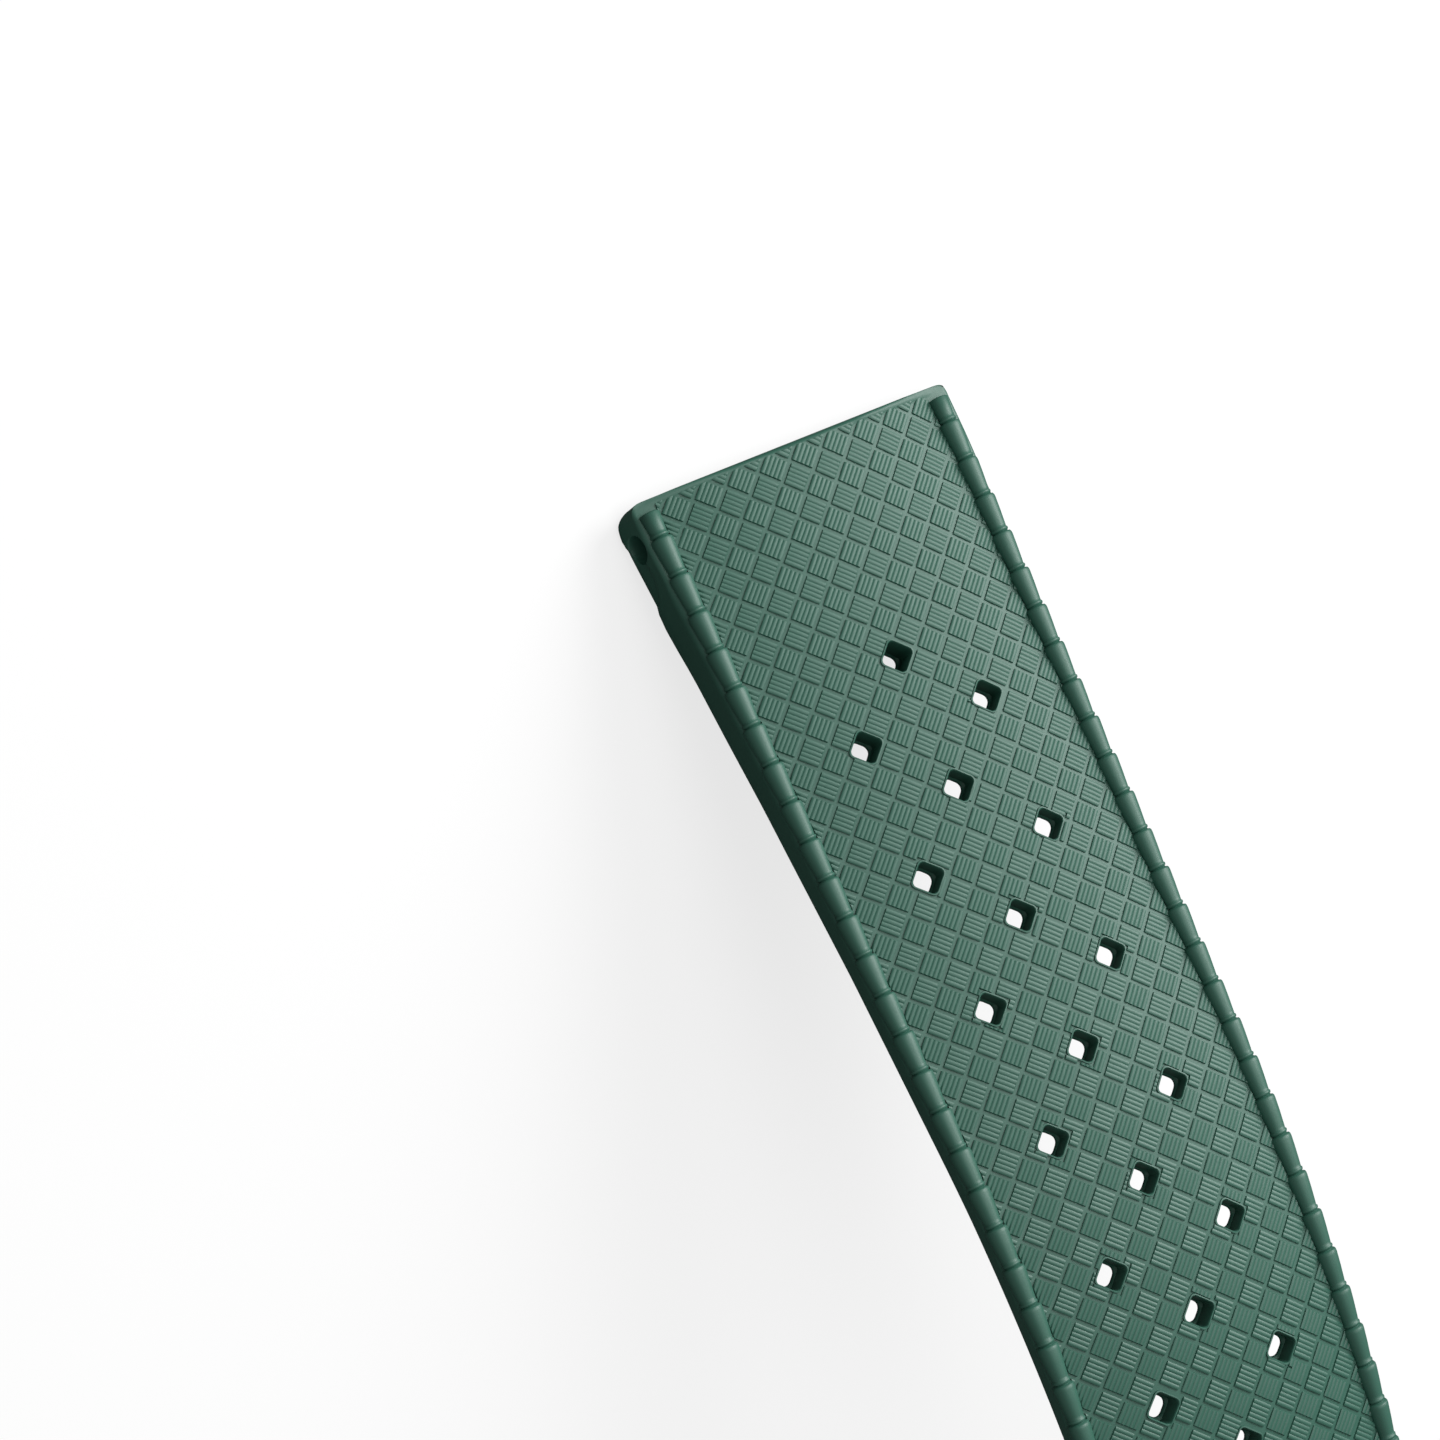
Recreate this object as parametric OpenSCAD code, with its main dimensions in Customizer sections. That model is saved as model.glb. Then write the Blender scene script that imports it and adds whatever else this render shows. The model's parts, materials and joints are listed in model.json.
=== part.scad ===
// Two-piece perforated rubber watch strap, laid out unbuckled.
// A long tail half and a short buckle half lie side by side.
// Each half is drawn along its own centre line: u runs from the lug end
// to the free end, v runs across and n is the height over the top crest.

/* [Strap halves] */
// Width of the lug end, to fit between the lugs of a watch
lug_w = 20; // [18:0.5:22]
// Width over the two walls at the buckle end and along the tail
end_w = 17.8; // [16:0.2:19]
// Distance from the lug end at which the taper in width is over
taper_len = 70; // [50:1:74]
// Thickness of the rounded lug end
lug_t = 3.44; // [3:0.02:4]
// Radius of the bore for the spring bar at the lug end
lug_bore_r = 0.8; // [0.6:0.05:0.9]
// Distance of that bore from the lug end
bore_u = 2.05; // [1.8:0.05:2.4]
// Depth of that bore under the crest
bore_depth = 2; // [1.7:0.05:2.1]
// Thickness behind the lug end
root_t = 3.6; // [3:0.1:4]
// Thickness along the bend, up to the free end
mid_t = 2.4; // [2.2:0.1:2.8]
// Thickness of the perforated panel between the walls
panel_t = 1.5; // [1.2:0.1:1.7]
// Width of the side walls around the hollow underside
wall_t = 1.5; // [1.2:0.1:2]
// Radius of the crown across the top surface
crown_r = 50; // [35:1:80]

/* [Set of the rubber] */
// Radius of the moulded bend, at the top surface
bend_r = 74; // [60:1:100]
// Straight length before the bend of the long half
long_straight = 36.8; // [30:0.1:42]
// Angle of the bend of the long half, from the straight to the tail tip
long_bend = 64.4; // [50:0.1:75]
// Straight length before the bend of the short half
short_straight = 25.4; // [20:0.1:28]
// Angle of the bend of the short half, from the straight to the buckle bar
short_bend = 38.4; // [34:0.1:45]
// Gap between the two halves as they lie side by side
lay_gap = 6; // [3:0.5:10]
// How far along the long half the lug end of the short half lies
lay_offset = 74; // [60:1:90]

/* [Perforations] */
// Distance between holes along each row, and between the outer rows
hole_pitch = 7.5; // [7:0.1:8.5]
// Side of the square hole, which stands on its corner
hole_side = 1.4; // [1:0.05:1.8]
// Radius of the corners of the hole
hole_corner = 0.3; // [0.15:0.05:0.45]
// Distance from the lug end to the first hole
first_hole = 12.7; // [11:0.1:15]
// Bare length between the last hole and the tail tip
tail_margin = 16; // [12:1:24]

/* [Rope edge] */
// Length of one segment of the rope edge
rope_pitch = 2.2; // [1.6:0.1:3]
// Radius of a segment at its thick end, towards the lug
rope_r = 0.6; // [0.5:0.05:0.65]
// Radius of a segment at its thin end, towards the free end
rope_thin_r = 0.43; // [0.3:0.01:0.44]
// How far the side wall stands out from the centre of the rope
wall_out = 0.5; // [0.46:0.01:0.54]
// Depth of the centre of the rope below the crest
rope_drop = 0.75; // [0.65:0.05:0.9]

/* [Underside] */
// Length of the cross ribs along the strap
rib_len = 1; // [0.6:0.1:1.4]
// How far the ribs stay above the walls they join
rib_rise = 0.35; // [0.2:0.05:0.6]
// Radius of the shallow relief in each side of the lug end
relief_r = 1.95; // [1.5:0.05:2.2]
// Depth of that relief
relief_depth = 0.25; // [0.1:0.05:0.4]

/* [Keepers] */
// Length of each keeper along the strap
keeper_len = 5; // [4:0.5:7]
// Thickness of the rubber of a keeper
keeper_t = 1.2; // [0.9:0.1:1.6]
// Room left over the strap for the tail to pass
keeper_room = 2.9; // [2.7:0.1:3.4]
// Gap between the free keeper and the strap
keeper_gap = 0.25; // [0.15:0.05:0.4]
// Distance from the buckle bar to the fixed keeper
keeper_setback = 4.6; // [4.2:0.1:6]
// Gap between the two keepers at rest
keeper_spacing = 3; // [1:0.5:6]
// How far the free keeper slides towards the lug end
keeper_travel = 12; // [6:1:16]
// Depth of the seat of the fixed keeper in each side
seat_depth = 0.35; // [0.2:0.05:0.5]

/* [Buckle] */
// Outer radius of the tube of the buckle's spring bar
tube_r = 0.75; // [0.65:0.05:0.8]
// Wall of that tube
tube_t = 0.22; // [0.18:0.01:0.26]
// Radius of the round strap end around the bar
bar_end_r = 1.6; // [1.4:0.05:1.8]
// Radius of the pivots at the ends of the bar
pivot_r = 0.35; // [0.3:0.01:0.37]
// Width of the metal of the frame's two arms
arm_w = 2.1; // [1.9:0.1:3]
// Thickness of the frame
frame_t = 2.2; // [1.9:0.1:2.4]
// Clear length of the buckle window in front of the bar
window_len = 8.2; // [7:0.2:11]
// Length of the frame's front bar along the strap
front_w = 2.8; // [2:0.1:3.5]
// Radius of the outer corners of the frame
frame_corner = 3; // [1.5:0.1:4]
// Width of the tongue
tongue_w = 1.3; // [1:0.05:1.4]
// Thickness of the tongue
tongue_t = 1; // [0.8:0.05:1.3]
// Width of the tongue's eye in its slot
eye_w = 2.8; // [2:0.1:4]
// How deep the pivots reach into the arms
pivot_reach = 1.4; // [1:0.1:1.5]

/* [Hidden] */
$fn = 48;

rubber = "#2f6650";
steel = "#b9bcc0";
spring_steel = "#8e9398";

// Running clearance of a shaft in its hole
run = 0.05;
// Side clearance of parts that turn or slide past each other
side_gap = 0.2;
// How far a cutter reaches past the surface it cuts
past = 1;

// The end of the rope at the lug, and where its joints are counted from
rope_start = 0.7;
rope_phase = -0.1;
// How far a segment reaches into the next one
rope_lap = 0.1;
// How far the lug end stands out at each side past the walls
lug_step = 0.25;
// The waist between the lug end and the hollow part
notch_u = 5;
notch_t = 3.1;
root_u = 8;
hollow_start = 9.4;

lug_half = lug_w / 2;
end_half = end_w / 2;
nose_r = lug_t / 2;
// Distance of the rope's centre from the centre line, at either end
rope_end_c = end_half - wall_out;
rope_lug_c = lug_half - lug_step - wall_out;

// Each half: its straight length and its whole length
long_len = long_straight + bend_r * long_bend * PI / 180;
short_len = short_straight + bend_r * short_bend * PI / 180;
LONG = [long_straight, long_len];
SHORT = [short_straight, short_len];

// Radius and centre of the rounded tail tip
tip_r = end_half + 0.1;
tip_u = long_len - tip_r;

// Depth of the buckle bar's axis, with the round end just under the crest
bar_n = -bar_end_r - 0.15;
slot_w = eye_w + 2 * side_gap;
slot_back = 3.8;
inner_half = end_half + side_gap + 0.1;
frame_half = inner_half + arm_w;
frame_front = window_len + front_w;
eye_r = tube_r + run + 0.7;
tip_head_r = tube_r - tube_t - run;
tube_half = end_half - side_gap;
pivot_end = inner_half + pivot_reach;
// The crimped lip at each end of the tube, and the head that it keeps in
lip_len = 0.5;
head_len = 1.4;
head_in = tube_half - lip_len - run - head_len;

// Inner height of a keeper below the crest
keeper_low = mid_t + keeper_gap;
seat_half = end_half - seat_depth;
fixed_u = short_len - keeper_setback - keeper_len;
free_u = fixed_u - keeper_spacing - keeper_len;

// Angle of the bend at u
function turned(h, u) = (u - h[0]) / bend_r * 180 / PI;

// Distance of the rope's centre from the centre line at u
function rope_c(u) = rope_lug_c
    + (rope_end_c - rope_lug_c) * min(1, max(0, u / taper_len));

// Half the width over the walls at u
function half_width(u) = rope_c(u) + wall_out;

// Place of a joint of the rope
function rope_joint(i) = rope_phase + i * rope_pitch;

// Thickness under the crest at u of the half h
function thick(h, u) = u > h[0] ? mid_t
    : root_t + (mid_t - root_t) * max(0, u - root_u) / (h[0] - root_u);

// Place of a point of the bend, from the centre of the nose
function from_nose(h, u, n) = [
    h[0] + (n + bend_r) * sin(turned(h, u)) - nose_r,
    (n + bend_r) * cos(turned(h, u)) - bend_r + nose_r];

// Tilt that rests the nose and a round of radius r about p on one plane
function rest_tilt(p, r) = asin((r - nose_r) / norm(p)) - atan2(p[1], p[0]);

// Height of the centre of the nose over the axis of the lug bore
function nose_height(tilt) = (nose_r - bore_u) * sin(tilt)
    + (bore_depth - nose_r) * cos(tilt);

long_tilt = rest_tilt(from_nose(LONG, long_len, -mid_t), 0);
short_tilt = rest_tilt(from_nose(SHORT, short_len, bar_n), bar_end_r);
short_shift = [lay_offset, lug_w + lay_gap,
               nose_height(long_tilt) - nose_height(short_tilt)];

// Angle between the strap's end and the buckle, which lies on the plane
buckle_lean = short_bend - short_tilt
    - asin((bar_end_r - frame_t / 2) / frame_front);

// Frame of a half as it lies, with the origin on the axis of its lug bore
module on_long() {
    rotate([0, -long_tilt, 0]) translate([-bore_u, 0, bore_depth]) children();
}
module on_short() {
    translate(short_shift) rotate([0, -short_tilt, 0])
        translate([-bore_u, 0, bore_depth]) children();
}

// Frame at u along a half: straight at first, then bent down
module at(h, u) {
    if (u <= h[0]) translate([u, 0, 0]) children();
    else
        translate([h[0], 0, -bend_r]) rotate([0, turned(h, u), 0])
            translate([0, 0, bend_r]) children();
}

// Turns a section, drawn as radius and v, through the bend between two places
module through_bend(h, from, to) {
    translate([h[0], 0, -bend_r]) rotate([90, 0, 0])
        rotate_extrude(angle = turned(h, to) - turned(h, from),
                       start = 90 - turned(h, to), $fn = 360) children();
}

// A square with round corners
module round_square(side, r) {
    square([side, side - 2 * r], center = true);
    square([side - 2 * r, side], center = true);
    for (x = [-1, 1], y = [-1, 1])
        translate([x, y] * (side / 2 - r)) circle(r);
}

// A rectangle with round corners, centred
module round_rect(w, h, r) {
    square([w, h - 2 * r], center = true);
    square([w - 2 * r, h], center = true);
    for (x = [-1, 1], y = [-1, 1])
        translate([x * (w / 2 - r), y * (h / 2 - r)]) circle(r);
}

// Extrudes a profile drawn in u and n across the strap, centred on v
module across(w) {
    translate([0, w / 2, 0]) rotate([90, 0, 0]) linear_extrude(w) children();
}

// Side profile in u and n of the lug end and the straight
module root_profile(h) {
    translate([nose_r, -nose_r]) circle(nose_r);
    polygon([[nose_r, 0], [h[0], 0], [h[0], -mid_t], [root_u, -root_t],
             [notch_u, -notch_t], [nose_r, -lug_t]]);
}

// Straight part of a half, with its crown
module root_solid(h) {
    intersection() {
        across(lug_w) root_profile(h);
        translate([0, 0, -crown_r]) rotate([0, 90, 0])
            cylinder(h = h[0], r = crown_r, $fn = 360);
    }
}

// Bent part of a half, with its crown
module bend_solid(h, to) {
    through_bend(h, h[0], to) intersection() {
        translate([bend_r - mid_t, -lug_w / 2]) square([mid_t, lug_w]);
        translate([bend_r - crown_r, 0]) circle(crown_r, $fn = 360);
    }
}

// Outline of a half from above, in the plane of its straight
module plan(h) {
    bend_x = h[0];
    taper_x = h[0] + bend_r * sin(turned(h, taper_len));
    far = h[0] + bend_r;
    root_half = half_width(root_u);
    bend_half = half_width(h[0]);
    polygon([[-past, lug_half], [2 * nose_r, lug_half],
             [root_u, root_half], [bend_x, bend_half], [taper_x, end_half],
             [far, end_half], [far, -end_half], [taper_x, -end_half],
             [bend_x, -bend_half], [root_u, -root_half],
             [2 * nose_r, -lug_half], [-past, -lug_half]]);
}

// Solid of a half without its ropes, up to the place called to
module body(h, to) {
    intersection() {
        union() {
            root_solid(h);
            bend_solid(h, to);
        }
        translate([0, 0, -bend_r]) linear_extrude(2 * bend_r) plan(h);
    }
}

// What is cut away round the tail tip
module tip_cut() {
    at(LONG, tip_u) translate([0, 0, -mid_t - past])
        linear_extrude(mid_t + 2 * past) difference() {
            translate([0, -lug_w]) square([tip_r + 2 * past, 2 * lug_w]);
            circle(tip_r, $fn = 96);
        }
}

// One tapering segment of the rope, along X, that reaches into the next
module rope_segment(len) {
    rotate([0, 90, 0])
        cylinder(h = len + rope_lap, r1 = rope_r, r2 = rope_thin_r);
}

// A straight run of rope segments turned as one piece, along X
module rope_run(count) {
    skip = rope_start - rope_phase;
    len = count * rope_pitch + rope_lap;
    rotate([0, 90, 0]) rotate_extrude()
        polygon([[0, skip],
                 each [for (i = [0:count - 1])
                     each [[rope_r, max(skip, i * rope_pitch)],
                           [rope_thin_r, (i + 1) * rope_pitch]]],
                 [rope_thin_r, len], [0, len]]);
}

// Both ropes of a half, up to the place called to. The straight run ends
// at the first joint past the start of the bend.
module ropes(h, to) {
    first = ceil((h[0] - rope_phase) / rope_pitch);
    last = round((to - rope_phase) / rope_pitch);
    from = rope_joint(first);
    len = (to - from) / (last - first);
    chord = len * (1 - rope_drop / bend_r);
    for (side = [-1, 1]) {
        translate([rope_phase, side * rope_lug_c, -rope_drop])
            rotate([0, 0, side * atan2(rope_c(from) - rope_lug_c, from)])
                rope_run(first);
        for (i = [0:last - first - 1]) {
            u = from + (i + 0.5) * len;
            at(h, u) translate([-chord / 2, side * rope_c(u), -rope_drop])
                rope_segment(chord);
        }
    }
}

// The rope round the tail tip
module rope_tip() {
    r = tip_r - wall_out;
    half_turn = acos((tip_r - end_half) / r);
    count = ceil(r * half_turn * PI / 180 / rope_pitch);
    step = half_turn / count;
    chord = 2 * r * sin(step / 2);
    at(LONG, tip_u) for (i = [0:count - 1], side = [-1, 1]) {
        a = half_turn - (i + 0.5) * step;
        // The bend lowers the tip under the plane of its centre
        low = bend_r - sqrt(bend_r * bend_r - pow(r * cos(a), 2));
        rotate([0, 0, side * a])
            translate([r * cos(step / 2), side * chord / 2, -rope_drop - low])
                rotate([0, 0, -90 * side]) rope_segment(chord);
    }
}

// Cutter for one hole through the strap at u and v
module hole(h, u, v) {
    at(h, u) translate([0, v, -root_t - past]) rotate([0, 0, 45])
        linear_extrude(root_t + 2 * past) round_square(hole_side, hole_corner);
}

// All holes of a half that lie before the place called last
module holes(h, last) {
    for (u = [first_hole:hole_pitch:last]) hole(h, u, 0);
    for (u = [first_hole + hole_pitch / 2:hole_pitch:last], side = [-1, 1])
        hole(h, u, side * hole_pitch / 2);
}

// Hollow of the underside, between the walls, up to the place called last.
// A rib is left where the bend begins.
module hollow(h, last) {
    w = 2 * (end_half - wall_t);
    translate([hollow_start, -w / 2, -root_t - past])
        cube([h[0] - rib_len / 2 - hollow_start, w, root_t + past - panel_t]);
    through_bend(h, h[0] + rib_len / 2, last)
        translate([bend_r - mid_t - past, -w / 2])
            square([mid_t + past - panel_t, w]);
}

// Cross ribs that divide the hollow between the rows of holes
module ribs(h, last) {
    w = 2 * (end_half - wall_t) + past;
    for (u = [first_hole + hole_pitch / 4:hole_pitch / 2:last - rib_len]) {
        low = thick(h, u) - rib_rise;
        if (abs(u - h[0]) > rib_len)
            at(h, u) translate([-rib_len / 2, -w / 2, -low])
                cube([rib_len, w, low - panel_t / 2]);
    }
}

// Bore for the spring bar and the reliefs beside it at the lug end
module lug_cuts() {
    translate([bore_u, 0, -bore_depth]) rotate([90, 0, 0])
        cylinder(h = lug_w + 2 * past, r = lug_bore_r, center = true);
    for (side = [-1, 1])
        translate([2 * nose_r, side * (lug_half - relief_depth + past),
                   -bore_depth - relief_r * 0.9])
            rotate([90, 0, 0])
                cylinder(h = 2 * past, r = relief_r, center = true);
}

module long_half() {
    last = long_len - tail_margin;
    color(rubber) on_long() difference() {
        union() {
            difference() {
                body(LONG, long_len + past);
                tip_cut();
            }
            ropes(LONG, tip_u);
            rope_tip();
        }
        difference() {
            hollow(LONG, last);
            ribs(LONG, last);
        }
        holes(LONG, last);
        lug_cuts();
    }
}

module short_half() {
    last = free_u - 12;
    color(rubber) on_short() difference() {
        union() {
            body(SHORT, short_len);
            at(SHORT, short_len) translate([0, 0, bar_n]) rotate([90, 0, 0])
                cylinder(h = end_w - side_gap, r = bar_end_r, center = true);
            ropes(SHORT, fixed_u - side_gap);
        }
        difference() {
            hollow(SHORT, last);
            ribs(SHORT, last);
        }
        holes(SHORT, last);
        lug_cuts();
        keeper_seats();
        bar_cuts();
    }
}

// Seats at both sides for the fixed keeper
module keeper_seats() {
    for (side = [0, 1]) mirror([0, side, 0])
        through_bend(SHORT, fixed_u - run, fixed_u + keeper_len + run)
            translate([bend_r - mid_t - past, seat_half])
                square([mid_t + 2 * past, 2 * past]);
}

// Bore for the buckle's bar and the slot for the tongue
module bar_cuts() {
    at(SHORT, short_len) {
        translate([0, 0, bar_n]) rotate([90, 0, 0])
            cylinder(h = end_w + 2 * past, r = tube_r + run, center = true);
        translate([-slot_back, -slot_w / 2, -mid_t - 2 * past])
            cube([slot_back + bar_end_r + past, slot_w, mid_t + 4 * past]);
    }
}

// A rubber loop around the strap, bent like the strap
module keeper(half, from) {
    tall = keeper_low + keeper_room;
    mid = (keeper_room - keeper_low) / 2;
    color(rubber) on_short() through_bend(SHORT, from, from + keeper_len)
        translate([bend_r + mid, 0]) difference() {
            round_rect(tall + 2 * keeper_t, 2 * (half + keeper_t), 1.6);
            round_rect(tall, 2 * half, 0.4);
        }
}

module fixed_keeper() {
    keeper(seat_half + run, fixed_u);
}

module free_keeper() {
    // Wide enough for the strap where the keeper's travel ends
    keeper(half_width(free_u - keeper_travel) + rope_r - wall_out + keeper_gap,
           free_u);
}

// Frame on the axis of the buckle's bar, X towards the front bar
module on_bar() {
    on_short() at(SHORT, short_len) translate([0, 0, bar_n])
        rotate([0, -buckle_lean, 0]) children();
}

// Plan of the buckle frame: a rounded U closed by the front bar
module frame_plan() {
    difference() {
        translate([-frame_t / 2, 0]) union() {
            translate([0, -frame_half])
                square([frame_front + frame_t / 2 - frame_corner, 2 * frame_half]);
            translate([0, -frame_half + frame_corner])
                square([frame_front + frame_t / 2,
                        2 * (frame_half - frame_corner)]);
            for (side = [-1, 1])
                translate([frame_front + frame_t / 2 - frame_corner,
                           side * (frame_half - frame_corner)])
                    circle(frame_corner);
        }
        translate([-frame_t, -inner_half])
            square([frame_t + window_len, 2 * inner_half]);
    }
}

module buckle_frame() {
    color(steel) on_bar() difference() {
        intersection() {
            translate([0, 0, -frame_t / 2]) linear_extrude(frame_t) frame_plan();
            across(2 * frame_half + past) {
                circle(frame_t / 2);
                translate([0, -frame_t / 2])
                    square([frame_front - frame_t / 2, frame_t]);
                translate([frame_front - frame_t / 2, 0]) circle(frame_t / 2);
            }
        }
        for (side = [-1, 1])
            translate([0, side * inner_half, 0]) rotate([-90 * side, 0, 0])
                translate([0, 0, -past])
                    cylinder(h = past + pivot_reach + run, r = pivot_r + run);
    }
}

module buckle_tongue() {
    // Height of the tongue's underside over the bar's axis
    low = frame_t / 2 + 0.1;
    high = low + tongue_t;
    tip_x = frame_front + 0.7;
    color(steel) on_bar() difference() {
        union() {
            rotate([90, 0, 0]) cylinder(h = eye_w, r = eye_r, center = true);
            across(tongue_w)
                polygon([[-eye_r * 0.4, eye_r * 0.85], [eye_r * 1.2, high],
                         [tip_x - 1.6, high], [tip_x, low + tongue_t * 0.45],
                         [tip_x - 0.1, low], [eye_r * 1.6, low], [eye_r * 0.95, 0.3]]);
        }
        rotate([90, 0, 0])
            cylinder(h = eye_w + past, r = tube_r + run, center = true);
    }
}

module bar_tube() {
    color(steel) on_bar() rotate([90, 0, 0]) difference() {
        cylinder(h = 2 * tube_half, r = tube_r, center = true);
        cylinder(h = 2 * (tube_half - lip_len), r = tube_r - tube_t,
                 center = true);
        cylinder(h = 2 * tube_half + past, r = pivot_r + run, center = true);
    }
}

// One end of the spring bar: a head inside the tube and a thinner pivot
module bar_tip(side) {
    color(steel) on_bar() rotate([-90 * side, 0, 0]) {
        translate([0, 0, head_in]) cylinder(h = head_len, r = tip_head_r);
        translate([0, 0, head_in]) cylinder(h = pivot_end - head_in, r = pivot_r);
    }
}

module bar_tip_left() {
    bar_tip(1);
}

module bar_tip_right() {
    bar_tip(-1);
}

// Ring of points around the spring's wire at one step of its helix
function coil_ring(a, pitch, r, wire) = [for (k = [0:5])
    let (c = 60 * k, q = r + wire * cos(c))
    [q * cos(a), q * sin(a), a / 360 * pitch + wire * sin(c)]];

// A helix of round wire along Z, centred on the origin
module coil(turns, len, r, wire) {
    steps = 8;
    count = turns * steps;
    pitch = (len - 2 * wire) / turns;
    points = [for (i = [0:count])
        each coil_ring(i * 360 / steps, pitch, r, wire)];
    sides = [for (i = [0:count - 1], k = [0:5])
        let (a = 6 * i + k, b = 6 * i + (k + 1) % 6)
        each [[a, b, b + 6], [a, b + 6, a + 6]]];
    near = [for (k = [1:4]) [0, k + 1, k]];
    far = [for (k = [1:4]) [6 * count, 6 * count + k, 6 * count + k + 1]];
    translate([0, 0, -len / 2 + wire])
        polyhedron(points, concat(sides, near, far));
}

module bar_spring() {
    wire = 0.09;
    turns = 16;
    color(spring_steel) on_bar() rotate([90, 0, 0])
        coil(turns, 2 * (head_in - run), tip_head_r - wire - run, wire);
}

long_half();
short_half();
fixed_keeper();
free_keeper();
buckle_frame();
buckle_tongue();
bar_tube();
bar_tip_left();
bar_tip_right();
bar_spring();
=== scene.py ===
# %% [markdown]
# # A perforated rubber watch strap
# The real strap is two halves of moulded rubber. The long half has rows of holes for the
# buckle's tongue, and the short half carries the keepers and the buckle.
# The CAD frame holds the exact solids. This script builds the fine surface on top of them:
# the woven relief, the rope edges, the rounded rubber edges and the finishes.

# %% Load the CAD frame
import json
import math
from types import SimpleNamespace

import bmesh
import bpy
import numpy as np
from mathutils import Matrix
from mathutils.geometry import delaunay_2d_cdt

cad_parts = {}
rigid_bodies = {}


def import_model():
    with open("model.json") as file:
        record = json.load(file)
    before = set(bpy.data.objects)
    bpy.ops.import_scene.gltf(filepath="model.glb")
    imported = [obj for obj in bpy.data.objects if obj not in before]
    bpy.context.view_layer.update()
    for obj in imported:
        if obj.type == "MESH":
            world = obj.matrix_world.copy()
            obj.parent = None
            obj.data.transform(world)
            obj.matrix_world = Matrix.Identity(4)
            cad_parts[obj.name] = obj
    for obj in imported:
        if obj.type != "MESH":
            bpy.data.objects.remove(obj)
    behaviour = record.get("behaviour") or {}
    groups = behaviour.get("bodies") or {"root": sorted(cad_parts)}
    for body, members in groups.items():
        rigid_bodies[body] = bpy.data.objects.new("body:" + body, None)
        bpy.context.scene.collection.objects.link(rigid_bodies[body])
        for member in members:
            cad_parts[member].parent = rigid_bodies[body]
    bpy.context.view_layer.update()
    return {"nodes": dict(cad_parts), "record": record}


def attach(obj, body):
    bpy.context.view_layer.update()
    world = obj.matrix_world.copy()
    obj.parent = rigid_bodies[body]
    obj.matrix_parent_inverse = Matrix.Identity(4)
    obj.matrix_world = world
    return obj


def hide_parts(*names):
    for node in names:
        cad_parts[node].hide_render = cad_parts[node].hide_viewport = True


for stray in list(bpy.data.objects):
    bpy.data.objects.remove(stray)
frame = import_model()
print("CAD nodes:", sorted(frame["nodes"]))

# %% [markdown]
# ## Sizes
# All lengths are in millimetres along a half: u runs from the lug end to the free end, v runs
# across and n is the height over the crest of the top. Past its straight part a half is
# moulded in a bend of 74 mm radius, as a strap is that has to follow a wrist.

# %% Sizes of the two halves
MM = 0.001
BEND_R = 74.0                                    # moulded bend, at the top surface
NOSE_R, NOSE_OUT = 1.72, 0.1                     # rounding of the lug's nose, and its overhang
BORE_U, BORE_DEPTH, BORE_R = 2.05, 2.0, 0.81     # spring bar bore in the lug end
BORE_ROUND = 0.04                                # how much wider its mouths are
CROWN = 0.01                                     # drop of the top surface at v is CROWN v^2
GROUND = 0.11                                    # depth of the weave
PANEL = 1.5                                      # thickness of the panel with the holes
EDGE_R, BORE_EDGE_R = 0.5, 0.22                  # round edges, and those beside the bore
ROPE_DROP, WALL_OUT = 0.78, 0.53                 # rope under the crest, wall past the rope
TIP_R = 8.63                                     # half width of the tail, round its tip
SIDE_FROM = 6.5                                  # end of the face that holds the bore
PITCH, FIRST_HOLE = 7.5, 12.7                    # spacing along a row, first hole's middle
HOLLOW_WIDE = 14.6                               # width of the pockets in the underside
TAIL, BUCKLE_END = 111.353, 71.2                 # where the tip's round and the lobes begin

# Of each half: the length before its bend, the tilt of that part in degrees, the place of its
# bore, the ends of its side edges and of its last pocket, and the seat of its keeper
LONG = SimpleNamespace(name="long", body="long_strap", straight=36.8, tilt=21.6188,
                       shift=(0, 0, 0), end=TAIL, last=103.98, seat=None)
SHORT = SimpleNamespace(name="short", body="short_strap", straight=25.4, tilt=12.7675,
                        shift=(74, 26, -0.0614), end=BUCKLE_END, last=45.395,
                        seat=(65.35, 70.45))


def hole_places(half):
    """Centres (u, v) of the holes: one row on the middle line, two rows a half pitch aside."""
    mid = np.arange(FIRST_HOLE, half.last, PITCH)
    side = np.arange(FIRST_HOLE + PITCH / 2, half.last, PITCH)
    rows = [(mid, 0), (side, PITCH / 2), (side, -PITCH / 2)]
    return np.vstack([np.stack([u, np.full_like(u, v)], 1) for u, v in rows])


def rope_middle(u):
    """Distance of the rope from the middle line: it tapers evenly over the first 70 mm."""
    return 8.95 - 0.85 * np.clip(u / 70, 0, 1)


def panel(u):
    """Thickness of the panel between the pockets and the top: it thickens towards the lug."""
    return PANEL + 0.7 * np.clip((19.5 - u) / 6, 0, 1)


def wall(half, u):
    """Half width over the side walls: wider at the lug, cut in at the keeper's seat, and round
    at the nose's corners by 0.5 (1 - sqrt(1 - x^2)), x growing from 0 to 1 towards the tip."""
    lug = 0.25 * (1 - np.clip((u - 3) / 14, 0, 1))
    x = np.clip((0.5 - u) / (0.5 + NOSE_OUT), 0, 1)
    w = rope_middle(u) + WALL_OUT + lug - 0.5 * (1 - np.sqrt(1 - x * x))
    if half.seat:
        w = np.where((u > half.seat[0]) & (u < half.seat[1]), 8.55, w)
    return w


print("holes:", len(hole_places(LONG)), "long,", len(hole_places(SHORT)), "short")

# %% [markdown]
# ## From strap coordinates to the world
# One function bends, tilts and moves points, so every surface can be thought of as flat.
# That is also how the mould is drawn: the pattern is laid out flat and wrapped on the bend.

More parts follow.
